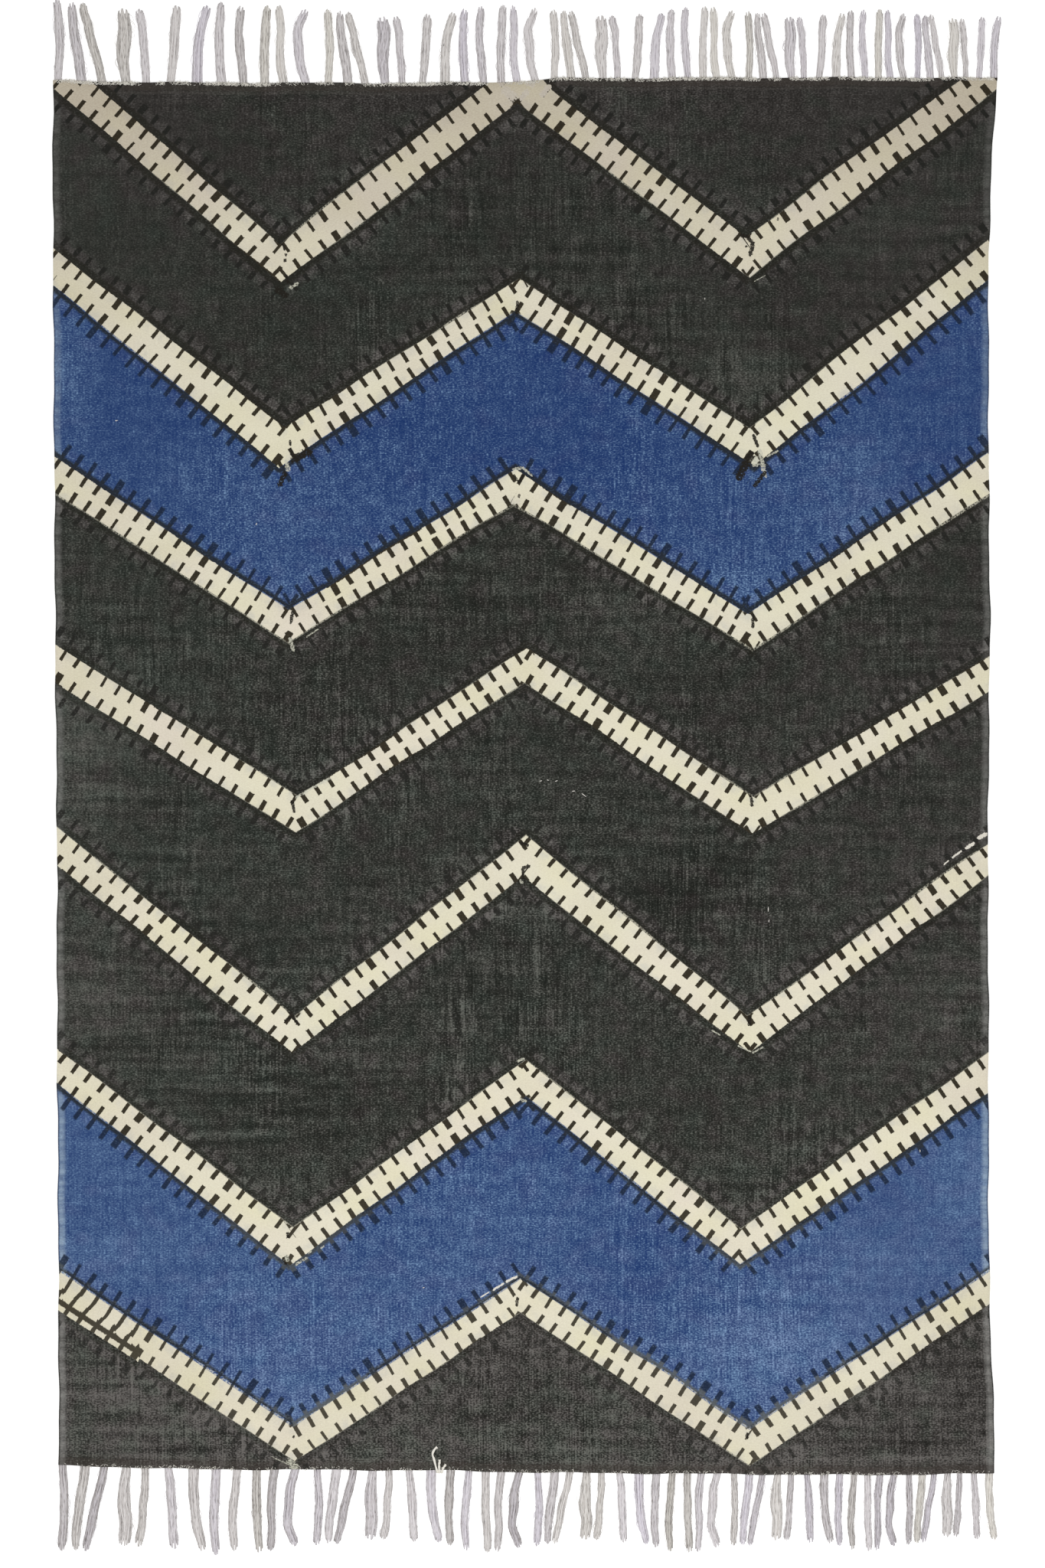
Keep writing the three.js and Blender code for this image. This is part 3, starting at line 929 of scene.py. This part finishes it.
def fringe_yarn():
    """Loosely spun undyed cotton, a little different from strand to strand."""
    paint = Paint("fringe_yarn")
    tint, dark, pale = paint.values("yarn")
    streak = paint.noise(0.9, 7.0, 7, 1.0)
    colour = paint.mix(WARM_YARN, COOL_YARN, tint)
    # The dark share holds random darkness per strand, fibre streaks and painted shade at the strands' sides
    colour = paint.mix(colour, DARK_YARN_AND_PAINTED_SHADE, dark + streak.rises(0.5, 0.75) * 0.4)
    colour = paint.mix(colour, PALE_YARN, pale)
    return paint.finish(colour, streak * 0.5, 0.4, roughness=1.0, specular=0.1)


# Making the cloth

def patches(across, along, wide, tall, seed):
    """Soft random patches of about this width and length, mostly from -1 to 1."""
    waves = np.random.default_rng(seed)
    count = 16
    total = 0
    for _ in range(count):
        turn_across, turn_along = waves.normal(0, 2.2, 2)
        shift = waves.uniform(0, 2 * np.pi)
        total = total + np.cos(turn_across * across / wide + turn_along * along / tall + shift)
    return total / math.sqrt(count)


def patch(across, along, x, y, wide, tall):
    """One soft round patch: 1 in its middle, and 0 well away from it."""
    return np.exp(-((across - x) / wide) ** 2 - ((along - y) / tall) ** 2)


def ground_values(across, along):
    """The print's own lightness, how blue it is, and its tint from green to brown."""
    blue = np.isin((middle_lines(across) > along).sum(0), BLUE_GROUNDS).astype(float)
    darkest, lightest = (colour[1] for colour in CHARCOAL)
    charcoal = (light_of(np.interp(along, *CHARCOAL_LEVELS)) - darkest) / (lightest - darkest)
    base = charcoal * (1 - blue) + np.interp(along, *BLUE_LEVELS) * blue
    base = base * (1 + 0.10 * patches(across, along, 90, 50, 1) + 0.05 * patches(across, along, 25, 22, 9))
    for *place, strength in WORN_PLACES:
        base = base + strength * patch(across, along, *place)
    tint = 0.2 * patches(across, along, 110, 80, 2) + 0.5 * ramp(along, 700, 900)
    tint = tint + 0.45 * ramp(along, -500, -750) + 0.2 * ramp(across, 250, 450)
    tint = tint - 0.2 * ramp(across, -200, -400) * ramp(np.abs(along), 600, 500)
    return base, blue, tint


def unevenness_values(across, along):
    """Strength of the streaks along the ribs, of the bands along the weft and of the print's fine grain."""
    streaky = 0.08 + 0.42 * patches(across, along, 75, 90, 3)
    near_edges = ramp(np.abs(across), 330, 480)
    banded = 0.15 + 0.12 * patches(across, along, 200, 120, 4) - along / 9000 + 0.16 * near_edges
    rough_print = 1.06 - 0.26 * near_edges - 0.00012 * along + 0.06 * patches(across, along, 120, 90, 12)
    rough_print = rough_print - 0.18 * ramp(along, 300, 550) + 0.14 * ramp(along, -400, -800)
    return np.clip(streaky, 0, 1), np.clip(banded, 0.03, 0.55), rough_print


def register_values(across, along):
    """How the ink wanders beside the cream, where its line starts, and where it was printed twice."""
    middles = middle_lines(across)
    zigzag = np.abs(middles - along).argmin(0)
    is_lower = (np.take_along_axis(middles, zigzag[None], 0)[0] > along).astype(int)
    double = (across < -495) & (along < -640) & (along > -800)
    wander = 0.9 * patches(across, along, 90, 90, 5) - 4.8 * (double & (is_lower == 1))
    wander = wander + 2.0 * patch(across, along, 55, 880, 30, 15)
    wander = wander - 3.5 * patch(across, along, 18, 890, 18, 14)
    line_start = np.array(LINE_STARTS)[zigzag, is_lower] + 1.1 * patches(across, along, 60, 60, 6)
    return wander, np.clip(line_start, -1.5, 3.6), double


def cream_values(across, along):
    """How pink and yellow the cream is, and how much darker: painted shade towards the top end, where the
    light falls off, and darker towards the bottom end, the long sides and in random patches.
    """
    pink = 0.3 + 0.3 * patches(across, along, 60, 60, 7)
    yellow = 0.2 + 0.35 * patches(across, along, 50, 50, 8)
    # Painted shade: darker towards the top end, where the light falls off. Also darker towards the bottom
    # end, the long sides and in random patches.
    darker_and_painted_shade = 0.02 + 0.53 * ramp(along, 590, 880) + 0.12 * ramp(along, -600, -800)
    darker_and_painted_shade += 0.12 * ramp(np.abs(across - 30), 380, 600) + 0.05 * patches(across, along, 70, 30, 11)
    return np.clip(pink, 0, 1), np.clip(yellow, 0, 1), darker_and_painted_shade


def new_piece(name, points, faces, materials):
    mesh = bpy.data.meshes.new(name)
    mesh.from_pydata((np.asarray(points) * MM).tolist(), [], faces)
    mesh.polygons.foreach_set("use_smooth", np.ones(len(mesh.polygons), bool))
    for material in materials:
        mesh.materials.append(material)
    piece = add_object(name, mesh)
    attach(piece, "root")
    return piece


def store(mesh, name, domain, values):
    """Stores three rows of values as one attribute of the mesh."""
    attribute = mesh.attributes.new(name, "FLOAT_VECTOR", domain)
    attribute.data.foreach_set("vector", np.stack(values, -1).astype(np.float32).ravel())


def bake_layout(places, on_underside):
    """A flat layout for baking: the printed face fills nearly all of it, and the underside a thin strip."""
    low, high = places[:, :2].min(0), places[:, :2].max(0)
    share = (places[:, :2] - low) / (high - low)
    rim_out = ramp(places[:, 2], THICKNESS, 0)[:, None]
    top = 0.5 + (share - 0.5) * (0.95 + 0.02 * rim_out) + (0, 0.015)
    under = np.stack((0.02 + 0.96 * share[:, 0], 0.001 + 0.012 * share[:, 1]), -1)
    return np.where(on_underside[:, None], under, top)


def make_cloth():
    points, faces, rib_of = cloth_mesh()
    materials = [
        printed_cotton("printed_ground", ()),
        printed_cotton("printed_zigzag", ("",)),
        printed_cotton("printed_corner", ("", "_beside")),
        cloth_back(),
    ]
    cloth = new_piece("printed_cloth", points, faces, materials)
    mesh = cloth.data
    sizes = np.array([len(face) for face in faces])
    starts = np.concatenate(([0], np.cumsum(sizes)[:-1]))
    corner_face = np.repeat(np.arange(len(faces)), sizes)
    corners = points[np.concatenate(faces)]
    middles = np.add.reduceat(corners[:, :2], starts, axis=0) / sizes[:, None]
    lines, near_crease = print_values(corners[:, :2], middles[corner_face])
    for name, values in lines.items():
        store(mesh, name, "CORNER", values)
    outward = np.maximum(lines["upper"][1], lines["lower"][1])
    inked = np.minimum.reduceat(outward, starts) < INK_REACH
    underside = np.maximum.reduceat(corners[:, 2], starts) < ROUNDING + 0.5
    marked = np.maximum.reduceat(near_crease, starts)
    marked = marked | store_marks(mesh, corners[:, :2], middles, corner_face)
    kinds = np.where(underside, 3, inked * (1 + marked))
    mesh.polygons.foreach_set("material_index", kinds.astype(np.int32))

    place = points[:, 0], points[:, 1]
    store(mesh, "cloth", "POINT", (rib_of, *edge_distance(*place)))
    store(mesh, "ground", "POINT", ground_values(*place))
    store(mesh, "unevenness", "POINT", unevenness_values(*place))
    store(mesh, "register", "POINT", register_values(*place))
    store(mesh, "cream", "POINT", cream_values(*place))
    layout = mesh.uv_layers.new(name="OFBake")
    layout.data.foreach_set("uv", bake_layout(corners, underside[corner_face]).astype(np.float32).ravel())
    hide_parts("rug_field")
    return cloth


# Making the fringes

def smooth_through(values, t):
    """A smooth curve through evenly spaced values, as t goes from 0 to 1."""
    values = np.asarray(values, float)
    last = len(values) - 1
    at = np.clip(t, 0, 1) * last
    i = np.minimum(at.astype(int), last - 1)
    f = at - i
    before, start = values[np.maximum(i - 1, 0)], values[i]
    end, after = values[i + 1], values[np.minimum(i + 2, last)]
    slope_in, slope_out = (end - before) / 2, (after - start) / 2
    return (
        (2 * start - 2 * end + slope_in + slope_out) * f ** 3
        + (-3 * start + 3 * end - 2 * slope_in - slope_out) * f ** 2
        + slope_in * f + start
    )


def strand_centres(end, index, t):
    """Middle line and width of one strand: places across and along, and width, at each t from 0 to 1."""
    shape = index % len(STRAND_SHAPES)
    place, leans, widths, reach = STRAND_SHAPES[shape]
    start, span, lean, width, early, late = STRAND_RUNS[end][index // len(STRAND_SHAPES)]
    reach = reach * (early if shape < LATE_SHAPES else late)
    across = start + place * span
    root = short_edge(end, across) - OUTWARD[end] * ROOT_INSIDE
    x = across + lean * smooth_through((0, *leans), t)
    y = root + OUTWARD[end] * (reach + ROOT_INSIDE) * t
    return x, y, width * np.interp(t, (0, 0.5, 1), widths)


def tubes(lines, radii, sides, flatness=1.0):
    """Closed tubes round lines of points: vertices, faces and the line that each vertex belongs to.
    flatness is a tube's height as a share of its width."""
    count, steps, _ = lines.shape
    tangent = np.gradient(lines, axis=1)
    tangent /= np.linalg.norm(tangent, axis=2, keepdims=True)
    side = np.cross(tangent, (0, 0, 1))
    side /= np.linalg.norm(side, axis=2, keepdims=True)
    up = np.cross(side, tangent) * np.reshape(flatness, (-1, 1, 1))
    angle = 2 * np.pi * np.arange(sides) / sides
    turn = np.cos(angle)[:, None] * side[:, :, None, :] + np.sin(angle)[:, None] * up[:, :, None, :]
    points = lines[:, :, None, :] + radii[:, :, None, None] * turn
    number = np.arange(count * steps * sides).reshape(count, steps, sides)
    after = np.roll(number, -1, axis=2)
    walls = np.stack((number[:, :-1], number[:, 1:], after[:, 1:], after[:, :-1]), -1).reshape(-1, 4)
    faces = walls.tolist() + number[:, 0].tolist() + number[:, -1, ::-1].tolist()
    return points.reshape(-1, 3), faces, np.repeat(np.arange(count), steps * sides)


def ply_lines(x, y, wide, t):
    """The plies of one strand: they lie side by side, turn round each other and spread at the tip."""
    plies = np.arange(PLIES)[:, None]
    turns = chance.uniform(-0.35, 0.35)
    angle = 2 * np.pi * (plies / PLIES + turns * t) + chance.uniform(0, 6.3)
    thin = 1 - 0.5 * ramp(t, 0.93, 1)
    radius = np.clip(wide * 0.15, 0.8, 1.45) * thin * chance.uniform(0.9, 1.1, (PLIES, 1))
    level = STRAND_HEIGHT * (1 - 0.3 * t)
    spread = wide * 0.53 - radius * 0.45
    sway = 0.5 * np.sin(2 * np.pi * (t * chance.uniform(1, 2.5, (PLIES, 1)) + chance.random((PLIES, 1))))
    across = x + spread * np.cos(angle) + sway * np.clip(4 * t, 0, 1)
    rise = np.maximum(level / 2 - radius, 0.05)
    height = radius + rise * (1 + np.sin(angle))
    lengths = 1.035 - 0.06 * np.cos(angle[:, -1:]) ** 2 * chance.uniform(0.7, 1.2, (PLIES, 1))
    along = y[0] + (y - y[0]) * lengths
    # Painted shade: plies at a strand's sides are darkened, as if in shadow
    painted_shade_weight = np.abs(np.cos(angle)) ** 3
    return np.stack((across, along, height), -1), radius, painted_shade_weight


def core_line(x, y, wide, t):
    """The flat core that fills one strand from near its root to near its tip."""
    inner = 0.03 + 0.93 * t
    along = y[0] + (y[-1] - y[0]) * inner
    line = np.stack((np.interp(inner, t, x), along, np.full(len(t), CORE_HEIGHT / 2)), -1)
    return line, np.interp(inner, t, wide) * 0.40


def fibre_lines(x, y, wide):
    """Fine fibres that stray out of one strand and back in."""
    steps = np.linspace(0, 1, FIBRE_STEPS)
    start = chance.uniform(0.02, 0.85, (FIBRES, 1))
    length = np.minimum(chance.uniform(0.12, 0.35, (FIBRES, 1)), 1.02 - start)
    t = start + length * steps
    t_all = np.linspace(0, 1, len(x))
    along = y[0] + (y[-1] - y[0]) * t
    side = chance.choice((-1, 1), (FIBRES, 1))
    reach = 0.8 + 1.0 * chance.random((FIBRES, 1)) ** 1.6
    bulge = 0.45 + 0.55 * np.sin(np.pi * steps) ** 1.5
    turns = steps * chance.uniform(0.8, 2, (FIBRES, 1)) + chance.random((FIBRES, 1))
    curl = 0.4 * np.sin(2 * np.pi * turns)
    across = np.interp(t, t_all, x) + side * (np.interp(t, t_all, wide) / 2) * reach * bulge + curl
    height = np.maximum(chance.uniform(0.3, 2.4, (FIBRES, 1)) + 0.25 * curl, 2 * FIBRE_RADIUS)
    return np.stack((across, along, height), -1)


def new_yarn_piece(name, parts, material, node=None):
    """One piece of yarn from several sets of vertices, faces and shades."""
    faces, count = [], 0
    for points, part_faces, _ in parts:
        faces += [[v + count for v in face] for face in part_faces]
        count += len(points)
    piece = new_piece(name, np.concatenate([part[0] for part in parts]), faces, [material])
    store(piece.data, "yarn", "POINT", np.concatenate([part[2] for part in parts], -1))
    if node:
        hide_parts(node)
    return piece


def make_strand(end, index, t):
    """The lines, radii and shades of one strand's plies, core and fibres."""
    x, y, wide = strand_centres(end, index, t)
    plies = ply_lines(x, y, wide, t)
    core = core_line(x, y, wide, t)
    fibres = fibre_lines(x, y, wide)
    off = SHADE_OFF[end] + SHADE_OFF_ACROSS * index / STRANDS_PER_END
    tint = chance.random()
    dark = SHADE_BY_CHANCE * chance.random() - off
    return *plies, *core, fibres, (tint, dark)


def make_fringe(name, node, end, material):
    t = np.linspace(0, 1, PLY_STEPS)
    strands = [make_strand(end, index, t) for index in range(STRANDS_PER_END)]
    plies, ply_radii, painted_shade_weight, cores, core_radii, fibres, shades = (np.array(part) for part in zip(*strands))
    fibre_radii = np.full((STRANDS_PER_END * FIBRES, FIBRE_STEPS), FIBRE_RADIUS)
    # Painted shade added to the plies at each strand's sides
    painted_side_shade = PAINTED_SIDE_SHADE * np.repeat(painted_shade_weight.ravel(), PLY_SIDES)
    ply_radii, flatness = ply_radii.reshape(-1, PLY_STEPS), CORE_HEIGHT / 2 / core_radii.mean(1)
    parts = (
        (tubes(plies.reshape(-1, PLY_STEPS, 3), ply_radii, PLY_SIDES), PLIES, painted_side_shade),
        (tubes(cores, core_radii, CORE_SIDES, flatness), 1, CORE_SHADE),
        (tubes(fibres.reshape(-1, FIBRE_STEPS, 3), fibre_radii, 3), FIBRES, FIBRE_SHADE),
    )
    joined = []
    for (points, faces, owner), lines_by_strand, extra_dark_and_painted_shade in parts:
        tint, dark = shades[owner // lines_by_strand].T
        joined.append((points, faces, (tint, dark + extra_dark_and_painted_shade, 0 * dark)))
    return new_yarn_piece(name, joined, material, node)


def edge_lint(end, count):
    """Short cotton fibres on the rim of a short edge, thickest in uneven clumps."""
    steps = np.linspace(0, 1, 5)
    across = chance.uniform(-600, 600, 4 * count)
    seed = 21 + OUTWARD[end]
    clump = 0.7 + 0.4 * patches(across, 0, 14, 1, seed) + 0.25 * patches(across, 0, 120, 1, seed + 10)
    across = across[clump > chance.random(4 * count) + 0.2][:count, None]
    number = len(across)
    length = chance.uniform(1.2, 4.5, (number, 1))
    lean = chance.uniform(-1.2, 1.2, (number, 1))
    start = chance.uniform(-4.4, -0.6, (number, 1))
    x = across + lean * length * steps + 0.3 * np.sin(6 * steps + across)
    out = start + length * (1 - 0.45 * np.abs(lean)) * steps
    y = short_edge(end, across) + OUTWARD[end] * out
    z = np.where(out < -1, THICKNESS, THICKNESS - 0.55 * (out + 1)) + 0.15
    return np.stack((x, y, np.maximum(z, 0.4)), -1)


def lint_part(lines, radii, sides, shade):
    """Tubes round lines of points, with one shade all over."""
    points, faces, _ = tubes(lines, radii, sides)
    return points, faces, np.tile(shade, (len(points), 1)).T


def face_specks():
    """Bits of undyed cotton caught on the face."""
    parts = []
    steps = np.linspace(-0.5, 0.5, 6)
    for across, along, length, turn in FACE_SPECKS:
        direction = math.radians(turn)
        x = across + length * steps * math.cos(direction) + 0.3 * np.sin(4 * steps + across)
        y = along + length * steps * math.sin(direction) + 0.3 * np.cos(3 * steps + along)
        line = np.stack((x, y, cloth_height(x, y, 1.0) + 0.25), -1)
        parts.append(lint_part(line[None], 0.6 * np.cos(2.6 * steps)[None], 5, (0.3, 0.1, 0.6)))
    return parts


def loose_warp_ends():
    """Warp ends that have come up through the cloth near the bottom edge and lie on its face."""
    parts = []
    for route in LOOSE_WARP_ENDS:
        t = np.linspace(0, 1, 24)
        x, y = (smooth_through(places, t) for places in zip(*route))
        line = np.stack((x, y, THICKNESS + 1.2 - 3.0 * np.clip(1 - 6 * t, 0, 1)), -1)
        radius = WARP_END_RADIUS + 0.25 * np.sin(20 * t) + 0.5 * ramp(t, 0.8, 1)
        parts.append(lint_part(line[None], radius[None], 8, (0.0, 0.0, 1.0)))
    return parts


def make_lint(material):
    """Fibres at both short edges, loose warp ends, and a few specks of cotton on the face."""
    fibres = np.concatenate([edge_lint(end, count) for end, count in EDGE_LINT.items()])
    parts = [lint_part(fibres, np.full(fibres.shape[:2], LINT_RADIUS), 3, (0.0, 0.0, 1.0))]
    return new_yarn_piece("cotton_lint", parts + loose_warp_ends() + face_specks(), material)


bpy.context.scene.view_settings.view_transform = "Standard"
make_camera()
make_lights()
make_floor()
cloth = make_cloth()
yarn = fringe_yarn()
top = make_fringe("top_yarn", "fringe_top", "top", yarn)
bottom = make_fringe("bottom_yarn", "fringe_bottom", "bottom", yarn)
lint = make_lint(yarn)
